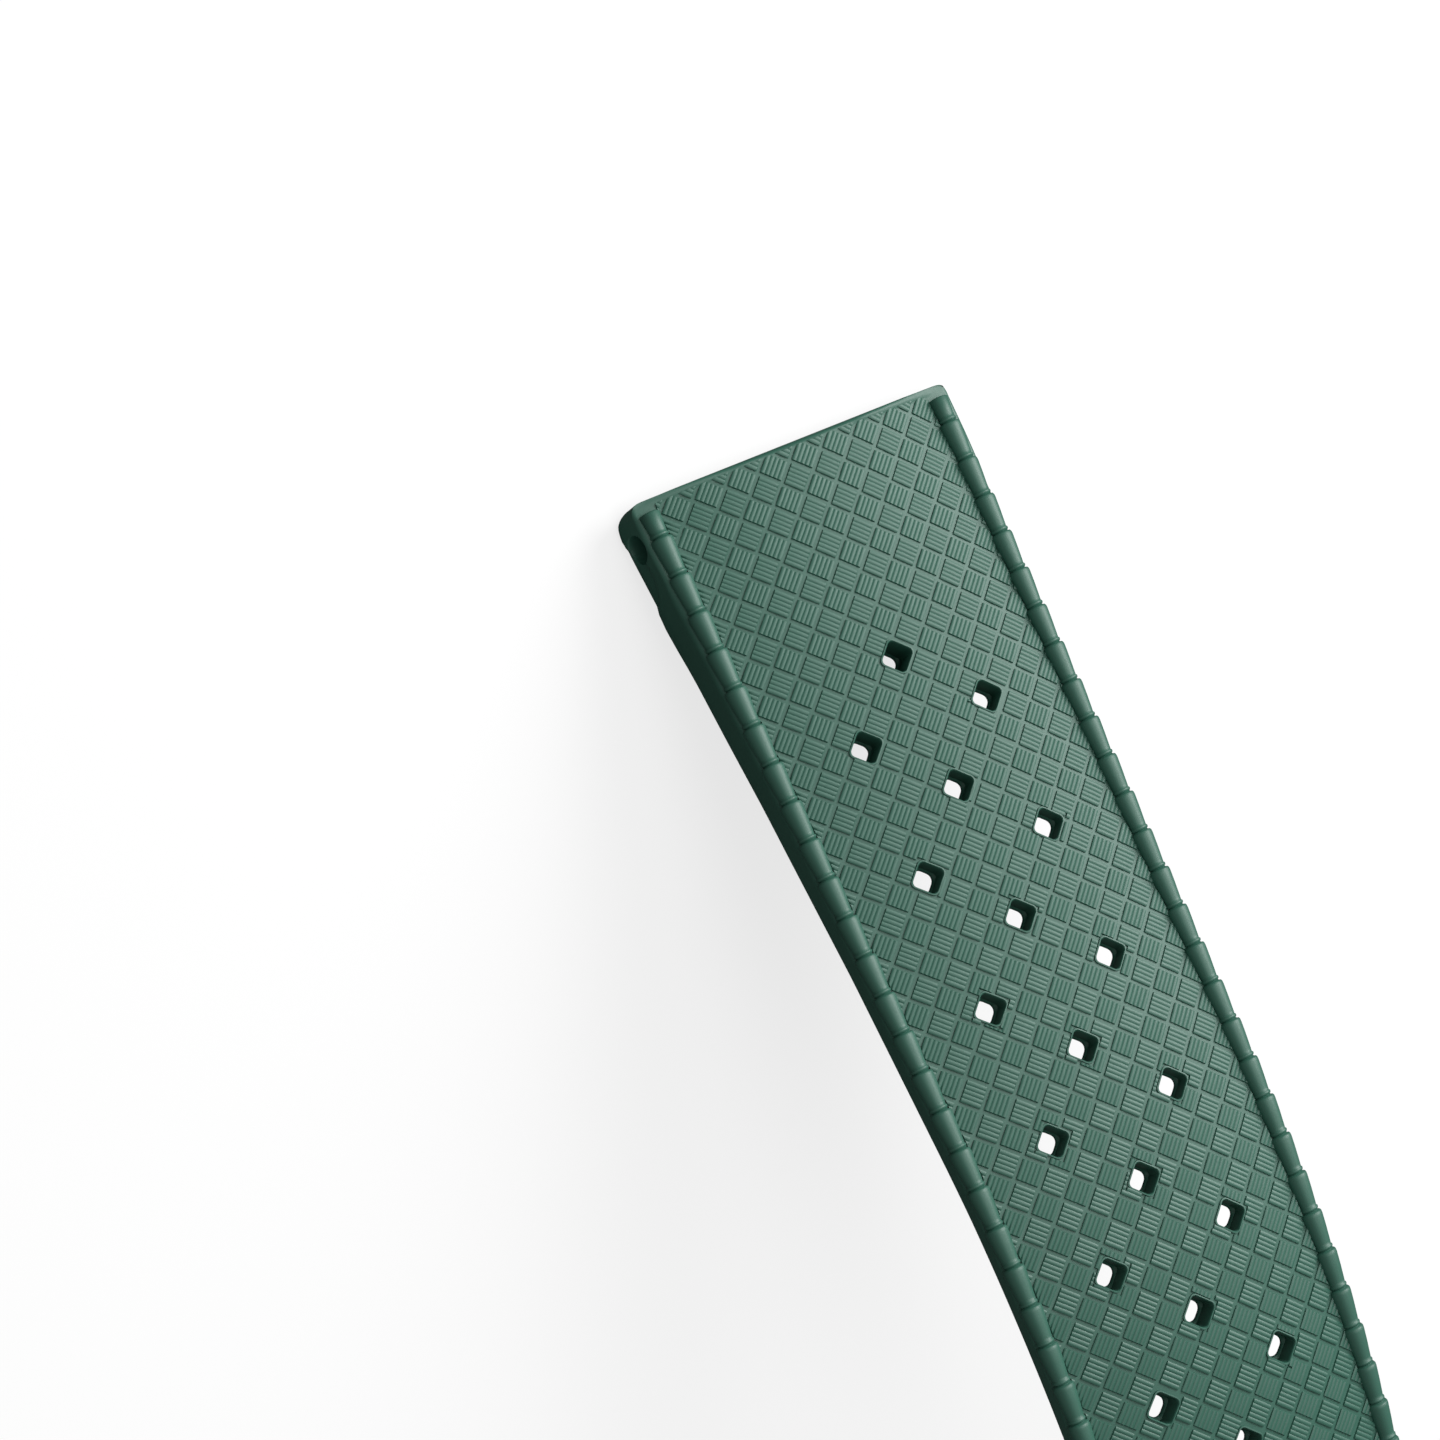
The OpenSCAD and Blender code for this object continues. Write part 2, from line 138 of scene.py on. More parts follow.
# %% Placing points


def place(half, p):
    """World place in metres. Past the straight s, t = (u - s) / R turns about the bend's axis:
    x = s + (n + R) sin t, z = (n + R) cos t - R. Then the half tilts about its lug bore."""
    u, v, n = p.T
    t = np.maximum(u - half.straight, 0) / BEND_R
    x = np.minimum(u, half.straight) + (n + BEND_R) * np.sin(t) - BORE_U
    z = (n + BEND_R) * np.cos(t) - BEND_R + BORE_DEPTH
    c, s = math.cos(math.radians(half.tilt)), math.sin(math.radians(half.tilt))
    return (np.stack([x * c - z * s, v, x * s + z * c], 1) + half.shift) * MM


def nose(u, power):
    """Height of the lug's nose over its middle, as a share of NOSE_R, by x^p + y^p = 1. Here x
    grows from 0 behind the nose to 1 at its tip; p = 6 is the square upper half, p = 2 the
    round lower one."""
    x = np.clip((NOSE_R - u) / (NOSE_R + NOSE_OUT), 0, 1)
    return (1 - x ** power) ** (1 / power)


def soft_min(x, y, k):
    """The lower of x and y, blended over a width k."""
    h = np.clip(0.5 + 0.5 * (y - x) / k, 0, 1)
    return y * (1 - h) + x * h - k * h * (1 - h)


def top_height(u, v):
    """Ground of the weave: the crown -CROWN v^2 less the weave's depth, rolled over the nose.
    A smooth border at the nose and under the rope stands at the full height."""
    arc = NOSE_R * (nose(u, 6) - 1)
    bare = np.clip((np.abs(v) - rope_middle(u) + 0.4) / 0.2, 0, 1)
    bare = np.maximum(bare, np.clip((0.34 - u) / 0.1, 0, 1))
    crown = -CROWN * v * v - GROUND * (1 - bare)
    return np.where(u < NOSE_R + 0.6, soft_min(arc, crown, 0.1), crown)


def underside(half, u, v):
    """Underside: the round lower nose and the deep root that thins out along the straight
    part. Between its rims, where the cross ribs are, it is 0.35 mm less deep."""
    n = -np.interp(u, [NOSE_R, 3.2, 5.1, 6.2, 8, 13, 20, 27, half.straight + 4],
                   [3.44, 3.55, 3.75, 4.05, 4.1, 3.85, 3.35, 2.8, 2.4])
    inner = np.clip((HOLLOW_WIDE / 2 + 0.15 - np.abs(v)) / 0.25, 0, 1)
    ribbed = (u > 9.8) & (u < half.last - 0.6)
    n = n + 0.35 * np.where(ribbed, inner, 0)
    return np.where(u < NOSE_R, -NOSE_R * (1 + nose(u, 2)), n)


# %% [markdown]
# ## Building blocks
# A surface is either a grid of points or a flat region that is filled with triangles and then
# lifted. Patches that share their border points are welded into one closed skin.

# %% Patches


def grid(p, wrap=False, wrap_rows=False):
    """Quads over a grid of points p[i, j]. wrap joins the last column to the first, and
    wrap_rows the last row to the first."""
    rows, cols = p.shape[:2]
    i, j = np.meshgrid(np.arange(rows if wrap_rows else rows - 1),
                       np.arange(cols if wrap else cols - 1), indexing="ij")
    below, right = (i + 1) % rows, (j + 1) % cols
    quads = np.stack([i * cols + j, i * cols + right, below * cols + right, below * cols + j],
                     -1)
    return p.reshape(-1, 3), quads.reshape(-1, 4)


def inside(p, loop):
    """Even-odd rule: a point is inside if a ray along x crosses the loop an odd number of times."""
    x, y = p[:, None, 0], p[:, None, 1]
    a, b = loop, np.roll(loop, -1, 0)
    spans = (a[:, 1] > y) != (b[:, 1] > y)
    rise = np.where(a[:, 1] == b[:, 1], 1, b[:, 1] - a[:, 1])
    cross = a[:, 0] + (y - a[:, 1]) * (b[:, 0] - a[:, 0]) / rise
    return (spans & (x < cross)).sum(1) % 2 == 1


def outside_all(p, loops, grow=1.0):
    """Which points lie in none of the loops, each loop grown about its middle."""
    free = np.ones(len(p), bool)
    for loop in loops:
        mid, reach = (loop.max(0) + loop.min(0)) / 2, np.ptp(loop, axis=0) * grow
        near = np.flatnonzero((np.abs(p - mid) < reach).all(1))
        free[near[inside(p[near], mid + (loop - mid) * grow)]] = False
    return free


def fill(outer, holes=(), inner=None, grow=1.15):
    """Delaunay triangles of a flat region. The outline and the holes stay as edges, and the
    inner points that lie clear of them keep the triangles even."""
    loops = [outer, *holes]
    points = list(loops)
    if inner is not None:
        inner = inner[inside(inner, outer)]
        points.append(inner[outside_all(inner, holes, grow)])
    links, start = [], 0
    for loop in loops:
        i = np.arange(len(loop))
        links.append(np.stack([i, (i + 1) % len(loop)], 1) + start)
        start += len(loop)
    verts, _, tris, *_ = delaunay_2d_cdt(
        np.vstack(points), np.vstack(links).tolist(), [], 0, 1e-6, False)
    verts, tris = np.array(verts), np.array(tris)
    middle = verts[tris].mean(1)
    return verts, tris[inside(middle, outer) & outside_all(middle, holes)]


def rounded(centre, size, r, turn=0.0, arc=6):
    """Loop of a rectangle with round corners: corner centres plus r (cos t, sin t)."""
    t = np.linspace(0, math.pi / 2, arc) + np.arange(4)[:, None] * math.pi / 2
    corner = np.array([[1, 1], [-1, 1], [-1, -1], [1, -1]]) * (np.array(size) / 2 - r)
    p = corner[:, None] + r * np.stack([np.cos(t), np.sin(t)], -1)
    c, s = math.cos(turn), math.sin(turn)
    return p.reshape(-1, 2) @ np.array([[c, s], [-s, c]]) + centre


def make(name, patches, half, material, sharp=38.0, weld=0.003):
    """Welds patches in strap coordinates into one smooth mesh. Edges that turn by more than
    sharp degrees stay sharp, and points closer than weld mm become one."""
    points, faces, start = [], [], 0
    for p, f in patches:
        points.append(p)
        faces += (f + start).tolist()
        start += len(p)
    mesh = bpy.data.meshes.new(name)
    mesh.from_pydata(place(half, np.vstack(points)), [], faces)
    bm = bmesh.new()
    bm.from_mesh(mesh)
    if weld:
        bmesh.ops.remove_doubles(bm, verts=bm.verts, dist=weld * MM)
        bmesh.ops.dissolve_degenerate(bm, edges=bm.edges, dist=1e-8)
    bmesh.ops.recalc_face_normals(bm, faces=bm.faces)
    loose = sum(not e.is_manifold for e in bm.edges)
    bm.to_mesh(mesh)
    bm.free()
    mesh.shade_smooth()
    mesh.set_sharp_from_angle(angle=math.radians(sharp))
    mesh.materials.append(material)
    obj = bpy.data.objects.new(name, mesh)
    bpy.context.scene.collection.objects.link(obj)
    print(f"{name}: {len(mesh.polygons)} faces, open edges {loose}")
    return obj


# %% [markdown]
# ## Materials
# The strap is moulded in one green rubber: satin, with a fine grain from the eroded steel of
# the mould, so its highlights are wide and soft. The buckle is satin-brushed steel, whose
# scratches run across the strap. The spring bar is plain turned steel and shines a bit more.

# %% Finishes


def colour(code):
    """A hex sRGB colour as linear RGBA: c / 12.92, or ((c + 0.055) / 1.055) ^ 2.4."""
    c = np.array([int(code[i:i + 2], 16) for i in (1, 3, 5)]) / 255
    lin = np.where(c <= 0.04045, c / 12.92, ((c + 0.055) / 1.055) ** 2.4)
    return (*lin.tolist(), 1.0)


def add(tree, kind, inputs, **settings):
    """One shader node, with its settings, and its inputs set or linked."""
    n = tree.nodes.new(kind)
    for key, value in settings.items():
        setattr(n, key, value)
    for key, value in inputs.items():
        if isinstance(value, bpy.types.NodeSocket):
            tree.links.new(value, n.inputs[key])
        else:
            n.inputs[key].default_value = value
    return n


def finish_of(name, shade, light, roughness, metallic, grain_mm, stretch, depth_mm):
    """A surface of two close shades, which change over about 6 mm, with a fine grain of
    grain_mm on it that is depth_mm deep. A stretch below 1 draws it out along that axis."""
    m = bpy.data.materials.new(name)
    m.use_nodes = True
    t = m.node_tree
    t.nodes.clear()
    where = add(t, "ShaderNodeTexCoord", {}).outputs["Object"]
    cloud = add(t, "ShaderNodeTexNoise", {"Vector": where, "Scale": 1 / (6 * MM),
                                          "Detail": 3.0})
    mix = add(t, "ShaderNodeMix", {"Factor": cloud.outputs["Fac"], "A": colour(shade),
                                   "B": colour(light)}, data_type="RGBA")
    scaled = add(t, "ShaderNodeMapping", {"Vector": where, "Scale": stretch})
    grain = add(t, "ShaderNodeTexNoise", {"Vector": scaled.outputs[0],
                                          "Scale": 1 / (grain_mm * MM), "Detail": 2.0})
    bump = add(t, "ShaderNodeBump", {"Height": grain.outputs["Fac"], "Strength": 1.0,
                                     "Distance": depth_mm * MM})
    skin = add(t, "ShaderNodeBsdfPrincipled",
               {"Base Color": mix.outputs["Result"], "Roughness": roughness,
                "Metallic": metallic, "Normal": bump.outputs[0]})
    add(t, "ShaderNodeOutputMaterial", {"Surface": skin.outputs[0]})
    return m


rubber = finish_of("moulded green rubber", "#245143", "#285547", 0.5, 0.0,
                   0.06, (1, 1, 1), 0.004)
buckle_steel = finish_of("satin brushed steel", "#94969a", "#9ea0a4", 0.42, 1.0,
                         0.08, (1, 0.04, 1), 0.003)
bar_steel = finish_of("turned bar steel", "#8c8e92", "#989a9e", 0.32, 1.0,
                      0.05, (1, 1, 1), 0.001)
print("materials:", [m.name for m in (rubber, buckle_steel, bar_steel)])

# %% [markdown]
# ## The moulded halves
# Each half is one closed skin: the ground under the weave, the flat side walls with their
# round edges, the nose with its bore, and the hollow underside with pockets between the ribs.
# In the mould the holes are pins, and the pockets save rubber and let the strap breathe.

# %% Edge of a half
NOSE_ROWS = 12                                       # steps over the nose's round
RELIEF_U, RELIEF_N, RELIEF_R = 3.36, -3.755, 1.95    # round relief in the lug's sides
# Shares of the half width for rows across: closer together near the edges
ACROSS = np.concatenate([[-1, -0.94, -0.88], np.linspace(-0.78, 0.78, 13), [0.88, 0.94, 1]])


def stations(half):
    """Places along an edge: close together at the nose, then about one a mm."""
    t = np.radians(np.linspace(0, 90, NOSE_ROWS + 1))
    tip = NOSE_R - (NOSE_R + NOSE_OUT) * np.sqrt(np.cos(t))
    near = np.linspace(NOSE_R, SIDE_FROM, 13)[1:]
    far = np.linspace(SIDE_FROM, half.end, int(half.end - SIDE_FROM))[1:]
    if half.seat:
        lo, hi = half.seat
        far = far[(np.abs(far - lo) > 0.3) & (np.abs(far - hi) > 0.3)]
        far = np.sort(np.append(far, [lo - 0.1, lo + 0.1, hi - 0.1, hi + 0.1]))
    return np.concatenate([tip, near, far])


def edge_line(half, under):
    """Line (u, v) of the +v edge, inset by its radius, its outward normal and the radius, which
    is small beside the bore. The long half's edge goes on round its tip to the middle line."""
    u = stations(half)
    clear = 0.3 if under else 4
    r = BORE_EDGE_R + (EDGE_R - BORE_EDGE_R) * np.clip((u - clear) / 1.5, 0, 1)
    line = np.stack([u, wall(half, u) - r], 1)
    out = np.tile([0.0, 1.0], (len(u), 1))
    if half is LONG:
        t = np.radians(np.linspace(90, 0, 15))
        turn = np.stack([np.cos(t), np.sin(t)], 1)
        arc = turn * (TIP_R - EDGE_R) + [half.end, 0]
        line, out = np.vstack([line, arc[1:]]), np.vstack([out, turn[1:]])
        r = np.append(r, np.full(len(arc) - 1, EDGE_R))
    return line, out, r


def edge_rows(half, side, under):
    """Quarter round of an edge: Q + r cos t M - r (1 - sin t) N, with M out of the plan and N
    out of the underside or the top. On the top N turns evenly over the nose's first mm."""
    line, m, r = edge_line(half, under)
    u, v = line.T
    if under:
        height = underside(half, u, v)
        slope = (underside(half, u + 1e-4, v) - underside(half, u - 1e-4, v)) / 2e-4
        normal = np.stack([slope, 0 * u, 0 * u - 1], 1) / np.hypot(slope, 1)[:, None]
        normal[0] = (-1, 0, 0)
    else:
        height, lean = top_height(u, v), np.clip(0.9 - u, 0, 1)
        normal = np.stack([-lean, 0 * u, np.sqrt(1 - lean ** 2)], 1)
    q = np.stack([u, v, height], 1)
    t = np.radians(np.linspace(90, 0, 6))[:, None, None]
    out = np.column_stack([m, 0 * u])
    p = q + r[:, None] * (np.cos(t) * out - (1 - np.sin(t)) * normal)
    # The last row ends on the side wall, whose width is taken at that row's own u
    near = len(stations(half)) - 1
    widen = wall(half, p[-1, :near, 0]) - wall(half, u[:near])
    p[:, :near, 1] += np.cos(t[:, 0]) * widen
    return p * [1, side, 1]


def relief(half, p):
    """Leans the sides of the lug end out by up to 0.4 mm towards the sole, and presses the
    round relief behind the bore 0.1 mm into them."""
    d = RELIEF_R - np.hypot(p[:, 0] - RELIEF_U, p[:, 2] - RELIEF_N)
    depth = 0.1 * np.clip(d / 0.16, 0, 1) * (p[:, 0] < SIDE_FROM)
    depth -= 0.4 * np.clip((-0.8 - p[:, 2]) / 2, 0, 1) * np.clip((9 - p[:, 0]) / 7, 0, 1)
    near = np.clip((np.abs(p[:, 1]) - wall(half, p[:, 0]) + 1.6) / 1.1, 0, 1)
    return p - np.stack([0 * d, np.sign(p[:, 1]) * depth * near, 0 * d], 1)


def outline(half, under):
    """Closed loop (u, v) of the top or the underside, from behind its nose on."""
    line = edge_line(half, under)[0][NOSE_ROWS:]
    share = ACROSS[1:-1]
    front = np.stack([np.full(len(share), line[0, 0]), share * line[0, 1]], 1)
    back = line[::-1] * [1, -1]
    if half is LONG:
        return np.vstack([line, back[1:], front])
    end = np.stack([np.full(len(share), line[-1, 0]), share[::-1] * line[-1, 1]], 1)
    return np.vstack([line, end, back, front])


def nose_grid(half, under):
    """Rows across the lug's nose, from its tip back to its full thickness."""
    line = edge_line(half, under)[0][:NOSE_ROWS + 1]
    v = line[:, 1:] * ACROSS
    u = np.broadcast_to(line[:, :1], v.shape)
    return grid(np.stack([u, v, underside(half, u, v) if under else top_height(u, v)], -1))


def spread(half, step):
    """Points (u, v) between the edges, in rows across the strap."""
    u = np.arange(2.4, half.end + 9, step)
    share = np.linspace(-0.94, 0.94, 13)
    v = (wall(half, u)[:, None] - EDGE_R) * share
    return np.stack([np.repeat(u, len(share)), v.ravel()], 1)


# %% [markdown]
# ### Holes, pockets and the bore
# Each of these is a stack of rings that starts on one surface and ends on another, so the skin
# stays closed: a hole runs from the top to a pocket's floor, and the bore from side to side.

# %% Body of a half


def hole_wall(middle):
    """Rings down one hole. A raised lip stands round its mouth, and at the bottom it narrows
    to a thin rim with rounder corners. Each ring is a side, a corner radius and a height, over
    the top for the mouth and over the pocket's floor for the rim."""
    mouth = [(1.6, 0.3, 0), (1.57, 0.3, 0.09), (1.46, 0.27, 0.1), (1.4, 0.26, 0.07),
             (1.36, 0.25, -0.03)]
    rim = [(1.32, 0.24, 0.3), (1.2, 0.38, 0.24), (1.14, 0.4, 0.19), (1.14, 0.4, 0.06),
           (1.18, 0.42, 0)]
    rings = []
    for side, r, rise in mouth + rim:
        loop = rounded(middle, (side, side), r, math.pi / 4)
        level = top_height(*loop.T) if len(rings) < len(mouth) else -panel(loop[:, 0])
        rings.append(np.column_stack([loop, level + rise]))
    return np.stack(rings)


def bays(half):
    """Middle and length of the pockets between the cross ribs, which are 1 mm wide and stand
    half-way between the rows of holes."""
    ribs = np.arange(FIRST_HOLE + PITCH / 4, half.last - 1, PITCH / 2)
    starts = np.append(9.4, ribs + 0.5)
    ends = np.append(ribs - 0.5, half.last)
    return [((s + e) / 2, e - s) for s, e in zip(starts, ends)]


def pocket(half, middle, length):
    """Rings down one pocket: a round rim, a wall with draft and a fillet at the floor. Each
    ring is an inset and a share of the pocket's depth."""
    rings = []
    for inset, share in [(0, 0), (0.05, 0.04), (0.1, 0.15), (0.2, 0.75), (0.3, 0.93),
                         (0.45, 1)]:
        size = (length - 2 * inset, HOLLOW_WIDE - 2 * inset)
        loop = rounded((middle, 0), size, 0.75 - inset)
        rim = underside(half, loop[:, 0], loop[:, 1])
        floor = -panel(loop[:, 0])
        rings.append(np.column_stack([loop, rim * (1 - share) + floor * share]))
    return np.stack(rings)


def side_face(half, side):
    """Flat face beside the nose, with the mouth of the bore, between the two round edges."""
    count = (stations(half) <= SIDE_FROM + 1e-6).sum()
    upper = edge_rows(half, 1, False)[-1][:count][:, [0, 2]]
    lower = edge_rows(half, 1, True)[-1][:count][:, [0, 2]]
    back = np.linspace(upper[-1], lower[-1], 5)[1:-1]
    loop = np.vstack([upper, back, lower[:0:-1]])
    t = np.linspace(0, 2 * math.pi, 40, endpoint=False)
    ring = np.stack([np.cos(t), np.sin(t)], 1)
    bore = [BORE_U, -BORE_DEPTH] + ring * (BORE_R + BORE_ROUND)
    u, n = np.meshgrid(np.arange(0.5, SIDE_FROM - 0.1, 0.13), np.arange(-3.2, -1, 0.13))
    flat, tris = fill(loop, [bore], np.stack([u.ravel(), n.ravel()], 1))
    return np.stack([flat[:, 0], side * wall(half, flat[:, 0]), flat[:, 1]], 1), tris


def bore_wall(half):
    """The bore from face to face, with a small round at both mouths."""
    t = np.linspace(0, 2 * math.pi, 40, endpoint=False)
    face = wall(half, BORE_U)
    rows = []
    for v, grow in [(1, BORE_ROUND), (0.998, 0.01), (0.99, 0), (0, 0), (-0.99, 0),
                    (-0.998, 0.01), (-1, BORE_ROUND)]:
        u = BORE_U + (BORE_R + grow) * np.cos(t)
        across = v * (wall(half, u) if abs(v) == 1 else face)
        rows.append(np.stack([u, across + 0 * t, -BORE_DEPTH + (BORE_R + grow) * np.sin(t)],
                             1))
    return np.stack(rows)


def body_patches(half):
    """All patches of one half: top, underside, edges, side walls, bore, holes and pockets."""
    places = hole_places(half)
    walls = [hole_wall(p) for p in places]
    crest, sole = outline(half, False), outline(half, True)
    flat, tris = fill(crest, [w[0, :, :2] for w in walls], spread(half, 1.2))
    patches = [(np.column_stack([flat, top_height(*flat.T)]), tris)]
    patches += [nose_grid(half, False), nose_grid(half, True)]
    patches += [grid(w, wrap=True) for w in walls]
    wells = [pocket(half, *bay) for bay in bays(half)]
    flat, tris = fill(sole, [w[0, :, :2] for w in wells], spread(half, 1.25), 1.02)
    patches.append((np.column_stack([flat, underside(half, *flat.T)]), tris))
    for well in wells:
        patches.append(grid(well, wrap=True))
        floor = well[-1, :, :2]
        mouths = [w[-1, :, :2] for w in walls if inside(w[-1, :1, :2], floor)[0]]
        flat, tris = fill(floor, mouths)
        patches.append((np.column_stack([flat, -panel(flat[:, 0])]), tris))
    far = (stations(half) < SIDE_FROM - 1e-6).sum()
    for side in (1, -1):
        upper, lower = edge_rows(half, side, False), edge_rows(half, side, True)
        flank = np.linspace(upper[-1][far:], lower[-1][far:], 5)
        patches += [grid(upper), grid(lower), grid(flank), side_face(half, side)]
    patches.append(grid(bore_wall(half), wrap=True))
    if half is SHORT:
        patches.append(end_cap(half, crest))
    return [(relief(half, p), f) for p, f in patches]


def end_cap(half, loop):
    """Flat end of the short half's skin, where its two bar lobes begin."""
    across = ACROSS * loop[loop[:, 0] == half.end][:, 1].max()
    u = np.full(len(across), half.end)
    crest = np.stack([across, top_height(u, across)], 1)
    sole = np.stack([across, underside(half, u, across)], 1)
    upper = edge_rows(half, 1, False)[1:, -1, 1:]
    lower = edge_rows(half, 1, True)[1:, -1, 1:]
    flank = np.vstack([upper, np.linspace(upper[-1], lower[-1], 5)[1:-1], lower[::-1]])
    ring = np.vstack([crest, flank, sole[::-1], flank[::-1] * [-1, 1]])
    flat, tris = fill(ring)
    return np.column_stack([np.full(len(flat), half.end), flat]), tris


bodies = {}
for half in (LONG, SHORT):
    bodies[half.name] = make(half.name + "_body", body_patches(half), half, rubber)

# %% [markdown]
# ## The rope edge
# Along both edges runs a rope: short tapering segments, each with a thin ring before the
# next one begins. The same segment repeats every 2.2 mm, so the mould's cutter only needs one
# shape. Here a circle with a stepped radius is swept along the edge.

# %% Rope
ROPE_PITCH = 2.2
# Radius along one segment: (share of its length, radius in mm)
SEGMENT = np.array([(0.0, 0.47), (0.015, 0.57), (0.05, 0.61), (0.12, 0.617), (0.45, 0.56),
                    (0.8, 0.485), (0.88, 0.465), (0.9, 0.515), (0.93, 0.52), (0.96, 0.49),
                    (0.98, 0.43)])


def rope_path(half, s):
    """Centre and plan normal at the length s: along the edge, then round the tail's tip."""
    r = TIP_R - WALL_OUT
    t = math.pi / 2 - np.maximum(s - TAIL, 0) / r
    out = np.stack([np.cos(t), np.sin(t)], 1)
    edge = np.stack([s, rope_middle(s)], 1)
    tip = out * r + [TAIL, 0]
    return np.where((s > TAIL)[:, None], tip, edge), out


def rope(half, side, last):
    """Rings of radius r(s) round the path; r repeats with the segments. The long half's last
    seven share the way to the middle of its tip. At the nose a rope begins with a round end."""
    joints = -0.1 + ROPE_PITCH * np.arange(51)
    if half is LONG:
        joints = np.append(joints, np.linspace(joints[-1], last, 8)[1:])
    joints = joints[joints <= last + 1e-6]
    lengths = np.diff(joints)
    s = (joints[:-1, None] + SEGMENT[:, 0] * lengths[:, None]).ravel()
    r = np.tile(SEGMENT[:, 1], len(lengths))
    keep = s > 0.9
    s = np.concatenate([[0.62, 0.62, 0.65, 0.71], s[keep], [joints[-1]]])
    r = np.concatenate([[0, 0.36, 0.5, 0.57], r[keep], [0.42]])
    if half is SHORT:
        s, r = np.append(s, s[-1]), np.append(r, 0)
    centre, out = rope_path(half, s)
    t = np.linspace(0, 2 * math.pi, 18, endpoint=False)
    ring = centre[:, None] + (r[:, None] * np.cos(t))[..., None] * out[:, None]
    up = -ROPE_DROP + r[:, None] * np.sin(t)
    return grid(np.concatenate([ring, up[..., None]], -1) * [1, side, 1], wrap=True)


for half, last in ((LONG, TAIL + (TIP_R - WALL_OUT) * math.pi / 2), (SHORT, 65.2)):
    ropes = [rope(half, 1, last), rope(half, -1, last)]
    bodies[half.name + "_rope"] = make(half.name + "_rope", ropes, half, rubber, sharp=60)

# %% [markdown]
# ## The weave
# The top looks woven: square cells stand at 45 degrees, each with five bars side by side, and
# the bars of neighbouring cells cross. Each bar is arched along its length, as a strand is
# that dives under its neighbour. A smooth lip is left round every hole.

# %% Weave
HALF_BAR, HALF_WIDE, BAR_PITCH = 0.6, 0.121, 0.24     # half sizes and spacing of the bars
CELL_U, CELL_V = 1.95, 1.93                           # spacing of the cells of one direction
CELL_AT = 8.72, 0.235                                 # middle (u, v) of one of them
LIP = 0.78                                            # half side of the bare square at a hole


def bar_boxes(half, lean):
    """Bars as boxes (s0, s1, w0, w1, s, w) along and across their own direction. lean is 1 for
    the cells whose bars run towards +u +v, and -1 for those between them."""
    along_bar = np.array([1, lean]) / math.sqrt(2)
    across = np.array([-lean, 1]) / math.sqrt(2)
    i, j = np.meshgrid(np.arange(-8, 62), np.arange(-6, 6), indexing="ij")
    off = 0.5 * (lean > 0)
    cell = np.stack([CELL_AT[0] + CELL_U * (i + off), CELL_AT[1] + CELL_V * (j + off)], -1)
    bars = np.arange(-2, 3)[:, None] * BAR_PITCH * across
    p = (cell.reshape(-1, 1, 2) + bars).reshape(-1, 2)
    s, w = p @ along_bar, p @ across
    box = np.stack([s - HALF_BAR, s + HALF_BAR, w - HALF_WIDE, w + HALF_WIDE, s, w], 1)
    for hole in hole_places(half):
        box = cut_box(box, hole @ along_bar, hole @ across)
    return box, along_bar, across


def cut_box(box, s, w):
    """Takes the square of one hole and its lip out of all boxes."""
    hit = ((box[:, 0] < s + LIP) & (box[:, 1] > s - LIP)
           & (box[:, 2] < w + LIP) & (box[:, 3] > w - LIP))
    kept, struck = box[~hit], box[hit]
    parts = [kept]
    for col, value in ((1, s - LIP), (0, s + LIP)):
        part = struck.copy()
        part[:, col] = value
        parts.append(part[part[:, 1] - part[:, 0] > 0.2])
    for col, value in ((3, w - LIP), (2, w + LIP)):
        part = struck.copy()
        part[:, col] = value
        part[:, 0] = np.maximum(part[:, 0], s - LIP)
        part[:, 1] = np.minimum(part[:, 1], s + LIP)
        parts.append(part[(part[:, 3] - part[:, 2] > 0.13) & (part[:, 1] - part[:, 0] > 0.2)])
    return np.vstack(parts)


def borders(half, u):
    """Half planes (x, y, c), x u + y v <= c, that bound the weave of bars at u: behind the
    nose, beside the ropes, and round the tail's tip or before the lobes."""
    limit = rope_middle(u) - 0.5
    lines = [(-1, 0, -0.22), (0, 1, limit), (0, -1, limit)]
    if half is LONG:
        for t in np.radians(np.arange(-87, 90, 7.5)):
            lines.append((math.cos(t), math.sin(t), 7.6 + TAIL * math.cos(t)))
    else:
        lines.append((1, 0, 70.6))
    return lines


def clip(box, half, along_bar, across, share):
    """Start and end of the columns of each box after the borders have cut them."""
    w = box[:, 2:3] + share * (box[:, 3:4] - box[:, 2:3])
    s0, s1 = box[:, :1] + 0 * w, box[:, 1:2] + 0 * w
    u = box[:, 4:5] * along_bar[0] + box[:, 5:6] * across[0]
    for x, y, c in borders(half, u):
        d, e = np.array([x, y]) @ along_bar, np.array([x, y]) @ across
        limit = (c - w * e) / d
        s0, s1 = (s0, np.minimum(s1, limit)) if d > 0 else (np.maximum(s0, limit), s1)
    return w, s0, s1


